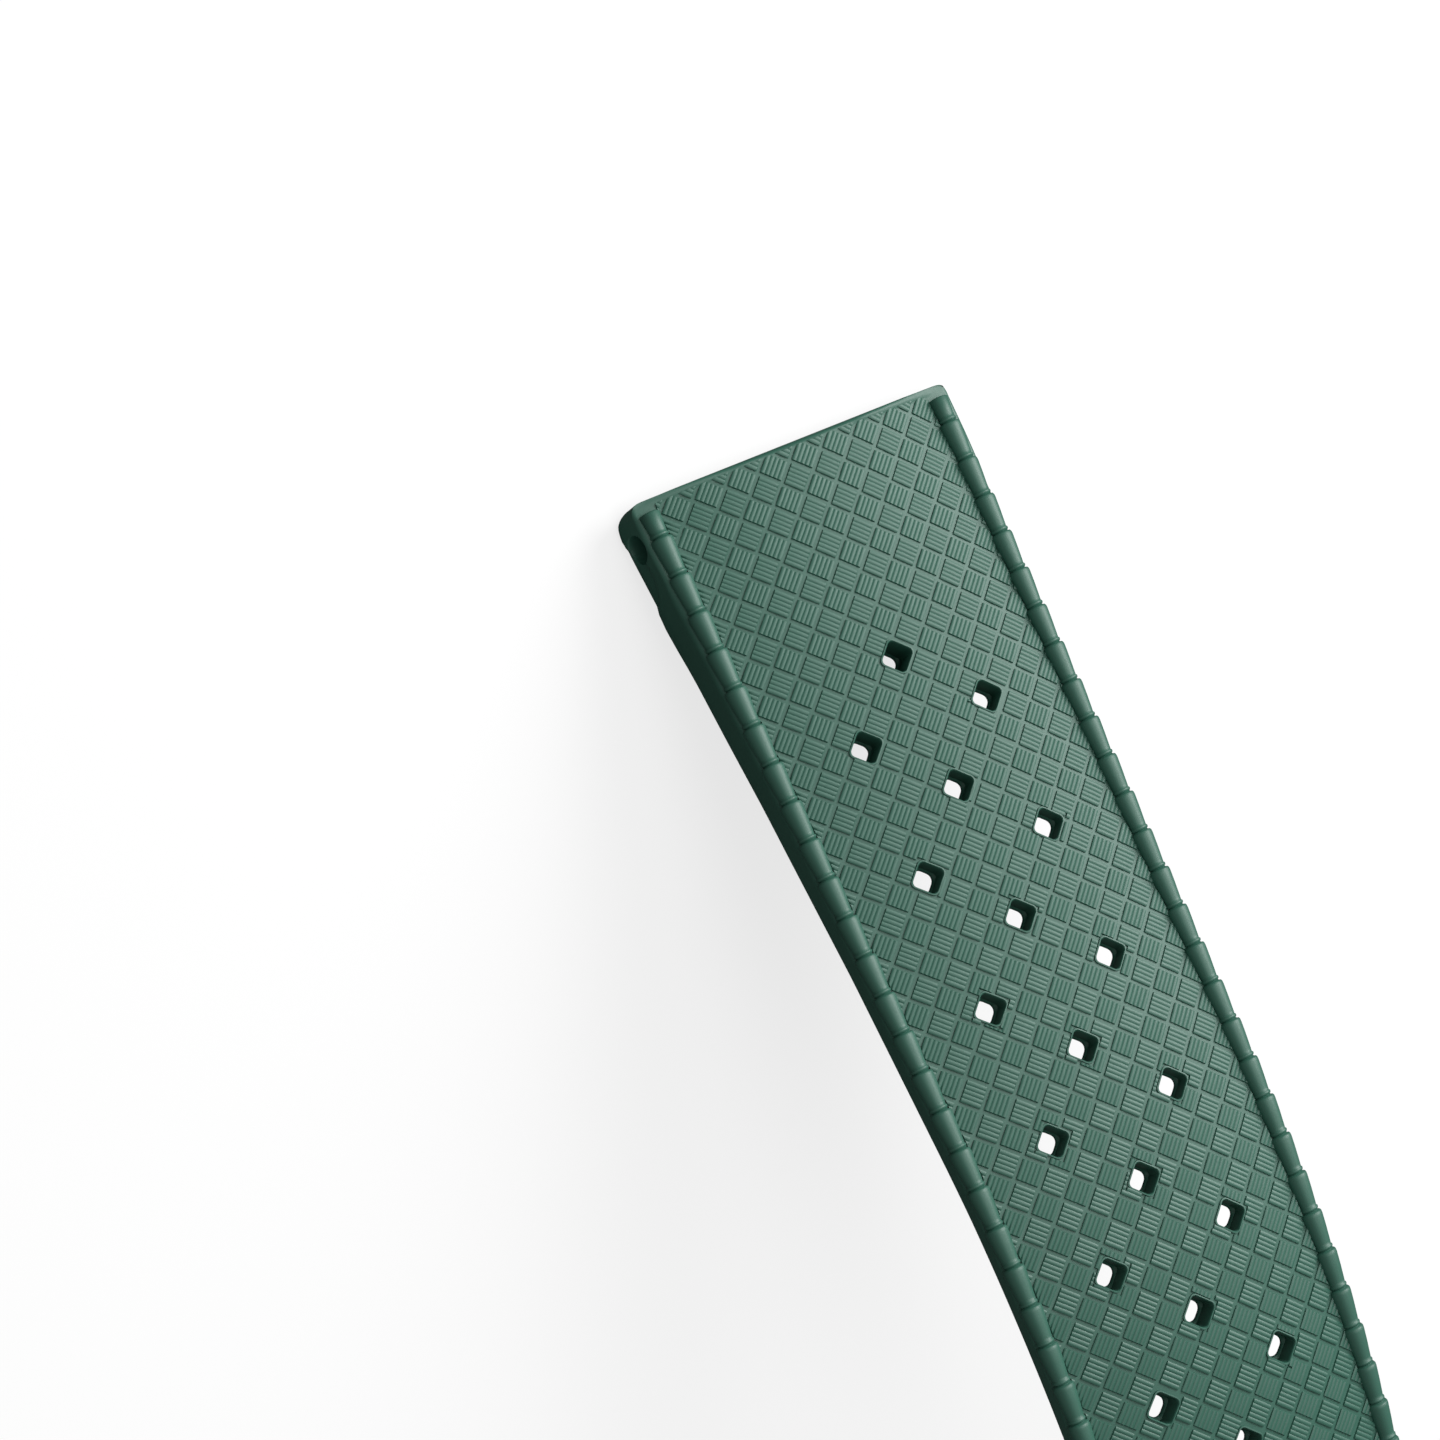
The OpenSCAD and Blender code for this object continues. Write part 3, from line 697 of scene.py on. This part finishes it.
def weave(half, lean):
    """Bars of one direction as closed grids. The height over the ground at (ds, dw) from the
    bar's middle is GROUND - 0.03 (ds / HALF_BAR)^4 - 0.04 (dw / HALF_WIDE)^2. Bars that the
    borders cut are first narrowed to the columns that are left of them."""
    box, along_bar, across = bar_boxes(half, lean)
    w, s0, s1 = clip(box, half, along_bar, across, np.linspace(0, 1, 13))
    good = s1 - s0 > 0.06
    box = box[good.any(1)]
    w, good = w[good.any(1)], good[good.any(1)]
    first, last = good.argmax(1), w.shape[1] - 1 - good[:, ::-1].argmax(1)
    rows = np.arange(len(box))
    box[:, 2], box[:, 3] = w[rows, first], w[rows, last]
    box = box[box[:, 3] - box[:, 2] > 0.07]
    share = np.array([0, 0, 0.18, 0.5, 0.82, 1, 1])
    w, s0, s1 = clip(box, half, along_bar, across, share)
    size = np.maximum(s1 - s0, 0.02)
    end = np.minimum(0.06 / size, 0.3)
    f = np.stack([0 * end, end, 0 * end + 0.5, 1 - end, 0 * end + 1], 1)
    s = s0[:, None] + f * size[:, None]
    ww = np.broadcast_to(w[:, None], s.shape)
    ds, dw = s - box[:, 4, None, None], ww - box[:, 5, None, None]
    h = GROUND - 0.03 * (ds / HALF_BAR) ** 4 - 0.04 * (dw / HALF_WIDE) ** 2
    h[:, [0, -1]] = -0.05
    h[:, :, [0, -1]] = -0.08
    uv = s[..., None] * along_bar + ww[..., None] * across
    ground = np.minimum(top_height(*np.moveaxis(uv, -1, 0)), -GROUND - CROWN * uv[..., 1] ** 2)
    p = np.concatenate([uv, (ground + h)[..., None]], -1).reshape(-1, 3)
    return p, bar_faces(len(box))


def bar_faces(count):
    """Faces of one bar of 5 by 7 points, repeated: top quads, a bottom strip and two ends."""
    i, j = np.meshgrid(np.arange(4), np.arange(6), indexing="ij")
    a = (i * 7 + j).ravel()
    top = np.stack([a, a + 1, a + 8, a + 7], 1)
    b = np.arange(4) * 7
    sole = np.stack([b, b + 7, b + 13, b + 6], 1)
    ends = np.array([[0, 1, 2, 3], [0, 3, 4, 5], [0, 5, 6, 6], [28, 31, 30, 29],
                     [28, 33, 32, 31], [28, 34, 34, 33]])
    one = np.vstack([top, sole, ends])
    return (one + np.arange(count)[:, None, None] * 35).reshape(-1, 4)


def make_weave(half, lean):
    """A mesh of bars. Quads with a corner twice are written as triangles, in a patch without
    points of its own that counts back to those of the first patch."""
    p, quads = weave(half, lean)
    split = (quads[:, 2] == quads[:, 3]) | (quads[:, 1] == quads[:, 2])
    tris = quads[split]
    tris = np.where((tris[:, 1] == tris[:, 2])[:, None], tris[:, [0, 1, 3]], tris[:, [0, 1, 2]])
    name = f"{half.name}_weave_{'up' if lean > 0 else 'down'}"
    patches = [(p, quads[~split]), (p[:0], tris - len(p))]
    return make(name, patches, half, rubber, sharp=50, weld=0)


for half in (LONG, SHORT):
    for lean in (1, -1):
        bodies[f"{half.name}{lean}"] = make_weave(half, lean)

# %% [markdown]
# ## Keepers and the bar lobes
# The keepers are moulded rubber loops. At the buckle end the short half is rolled round the
# spring bar in two lobes, and the buckle's tongue moves in the slot between them.

# %% Keepers
BAR_U, BAR_N = 75, -1.75                         # axis of the buckle's bar
LOBE_IN, LOBE_OUT, LOBE_R = 1.6, 8.6, 1.6


def keeper(half_in, start):
    """A rounded section swept round a rounded rectangle: path point plus d times its normal.
    Its inside reaches from low to high, and its rubber is t thick."""
    high, low, t = 2.9, -2.65, 1.2
    size = np.array([2 * half_in, high - low])
    path = rounded((0, (high + low) / 2), size + t, 1.1, arc=9)
    inner = rounded((0, (high + low) / 2), size, 0.5, arc=9)
    out = path - inner
    out /= np.linalg.norm(out, axis=1)[:, None]
    section = rounded((start + 2.5, 0), (5, t), 0.38, arc=5)
    p = path[:, None] + section[None, :, 1:] * out[:, None]
    u = np.broadcast_to(section[:, 0], p.shape[:2])
    return grid(np.concatenate([u[..., None], p], -1), wrap=True, wrap_rows=True)


fixed = make("fixed_loop", [keeper(8.6, 65.395)], SHORT, rubber)
free = make("free_loop", [keeper(9.549, 57.395)], SHORT, rubber)


def lobe(side):
    """One round end lobe: its profile in u and n, inset at both faces, with the bar's bore."""
    t = np.radians(np.linspace(90, 0, 12))
    crest = np.stack([BAR_U - 0.6 + 2.2 * np.cos(t), BAR_N + 1.73 * np.sin(t)], 1)
    t = np.radians(np.linspace(0, -156, 18))[1:]
    round_end = np.stack([BAR_U + LOBE_R * np.cos(t), BAR_N + LOBE_R * np.sin(t)], 1)
    profile = np.vstack([[(70.9, -0.02)], crest, round_end, [(73.3, -2.38), (70.9, -2.38)]])
    centre = np.array([74.2, -1.7])
    rows = []
    faces = [(LOBE_IN, 0.15), (LOBE_IN + 0.03, 0.06), (LOBE_IN + 0.15, 0),
             (LOBE_OUT - 0.15, 0), (LOBE_OUT - 0.03, 0.06), (LOBE_OUT, 0.15)]
    for v, inset in faces:
        pull = centre - profile
        pull /= np.linalg.norm(pull, axis=1)[:, None]
        q = profile + pull * inset
        rows.append(np.column_stack([q[:, 0], np.full(len(q), v), q[:, 1]]))
    rows = np.stack(rows)
    t = np.linspace(0, 2 * math.pi, 32, endpoint=False)
    ring = np.stack([BAR_U + 0.82 * np.cos(t), BAR_N + 0.8 * np.sin(t)], 1)
    patches = [grid(rows, wrap=True)]
    bore = np.stack([np.insert(ring, 1, v, axis=1) for v in (LOBE_IN, LOBE_OUT)])
    patches.append(grid(bore, wrap=True))
    for row in (rows[0], rows[-1]):
        flat, tris = fill(row[:, [0, 2]], [ring])
        patches.append((np.insert(flat, 1, row[0, 1], axis=1), tris))
    lowered = []
    for p, f in patches:
        up = np.clip(1 - p[:, 2] / BAR_N, 0, 1)
        drop = (CROWN * p[:, 1] ** 2 + GROUND * 0.8) * up
        lowered.append((p * [1, side, 1] - np.stack([0 * up, 0 * up, drop], 1), f))
    return lowered


lobes = make("bar_lobes", lobe(1) + lobe(-1), SHORT, rubber)

# %% [markdown]
# ## Riding on the bodies
# Each new piece moves with its CAD body. The rubber solids of the CAD aren't shown, because
# the skins stand for them. The steel parts are shown as they are.

# %% Ride, replace and paint
for half in (LONG, SHORT):
    for name, obj in bodies.items():
        if name.startswith(half.name):
            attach(obj, half.body)
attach(lobes, "short_strap")
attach(fixed, "short_strap")
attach(free, "sliding_keeper")
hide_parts("long_half")
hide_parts("short_half")
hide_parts("fixed_keeper")
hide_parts("free_keeper")

paint = {"green_rubber": rubber, "buckle_steel": buckle_steel, "bar_steel": bar_steel}
for sub in frame["record"]["subparts"]:
    data = frame["nodes"][sub["node"]].data
    data.materials.clear()
    data.materials.append(paint[sub["material_slot"]])

# %% [markdown]
# ## Studio
# The strap lies on a bright white table under a large soft light from its far side and a
# weaker one from above. The table is bright to the camera only: it sends little light back, so
# the side walls and the holes of the strap stay dark.

# %% Floor, light and camera


def light(name, place_mm, aim_mm, size_mm, watts):
    """A square soft light at place, turned towards aim."""
    lamp = bpy.data.lights.new(name, "AREA")
    lamp.shape, lamp.size, lamp.energy = "SQUARE", size_mm * MM, watts
    obj = bpy.data.objects.new(name, lamp)
    back = np.array(place_mm, float) - aim_mm
    back /= np.linalg.norm(back)
    right = np.cross([0, 0, 1], back)
    right /= np.linalg.norm(right)
    turn = Matrix(np.stack([right, np.cross(back, right), back], 1).tolist()).to_4x4()
    obj.matrix_world = Matrix.Translation(np.array(place_mm) * MM) @ turn
    bpy.context.scene.collection.objects.link(obj)
    return obj


floor_z = -1.6 * MM    # just under the lowest points of the skins
floor_mesh = bpy.data.meshes.new("floor")
floor_mesh.from_pydata([(x, y, floor_z) for x, y in ((-2, -2), (2, -2), (2, 2), (-2, 2))],
                       [], [(0, 1, 2, 3)])
floor = bpy.data.objects.new("floor", floor_mesh)
bpy.context.scene.collection.objects.link(floor)
white = bpy.data.materials.new("white table")
white.use_nodes = True
tree = white.node_tree
tree.nodes.clear()
seen = add(tree, "ShaderNodeLightPath", {}).outputs["Is Camera Ray"]
pale = add(tree, "ShaderNodeMix", {"Factor": seen, "A": colour("#a0a0a0"),
                                   "B": colour("#e8e8e8")}, data_type="RGBA")
matt = add(tree, "ShaderNodeBsdfDiffuse", {"Color": pale.outputs["Result"]})
glow = add(tree, "ShaderNodeEmission", {"Color": colour("#ffffff"), "Strength": seen})
both = add(tree, "ShaderNodeMixShader", {0: 0.75, 1: matt.outputs[0], 2: glow.outputs[0]})
add(tree, "ShaderNodeOutputMaterial", {"Surface": both.outputs[0]})
floor_mesh.materials.append(white)

world = bpy.data.worlds.new("studio")
bpy.context.scene.world = world
world.use_nodes = True
tree = world.node_tree
tree.nodes.clear()
seen = add(tree, "ShaderNodeLightPath", {}).outputs["Is Camera Ray"]
fill_light = add(tree, "ShaderNodeBackground", {"Color": colour("#ffffff"), "Strength": 0.36})
backdrop = add(tree, "ShaderNodeBackground", {"Color": colour("#ffffff"), "Strength": 1.0})
pick = add(tree, "ShaderNodeMixShader", {0: seen, 1: fill_light.outputs[0],
                                         2: backdrop.outputs[0]})
add(tree, "ShaderNodeOutputWorld", {"Surface": pick.outputs[0]})

key = light("key", (-110, 290, 200), (30, 0, 0), 240, 2.15)
top = light("top", (-60, 60, 380), (30, 0, 0), 200, 0.5)

cam_data = bpy.data.cameras.new("camera")
cam_data.lens, cam_data.sensor_width, cam_data.clip_start = 100.0, 36.0, 0.01
camera = bpy.data.objects.new("camera", cam_data)
bpy.context.scene.collection.objects.link(camera)
bpy.context.scene.camera = camera
# Rows of VIEW: the camera's right, down and forward, in the frame of the long half's straight
# with its origin at the first hole. OFFSET is that hole seen from the camera, in mm.
VIEW = np.array([[0.4238, 0.8598, 0.2847], [0.8997, -0.3635, -0.2417],
                 [-0.1044, 0.3586, -0.9276]])
OFFSET = np.array([9.307, -3.356, 209.733])
eye = -np.linalg.inv(VIEW) @ OFFSET + [FIRST_HOLE - BORE_U, 0, BORE_DEPTH]
c, s = math.cos(math.radians(LONG.tilt)), math.sin(math.radians(LONG.tilt))
tilt = np.array([[c, 0, -s], [0, 1, 0], [s, 0, c]])
axes = tilt @ (VIEW * [[1], [-1], [-1]]).T
camera.matrix_world = (Matrix.Translation(tilt @ eye * MM)
                       @ Matrix(axes.tolist()).to_4x4())
bpy.context.scene.view_settings.view_transform = "Standard"
print("camera at", [round(x * 1000, 1) for x in camera.matrix_world.translation])
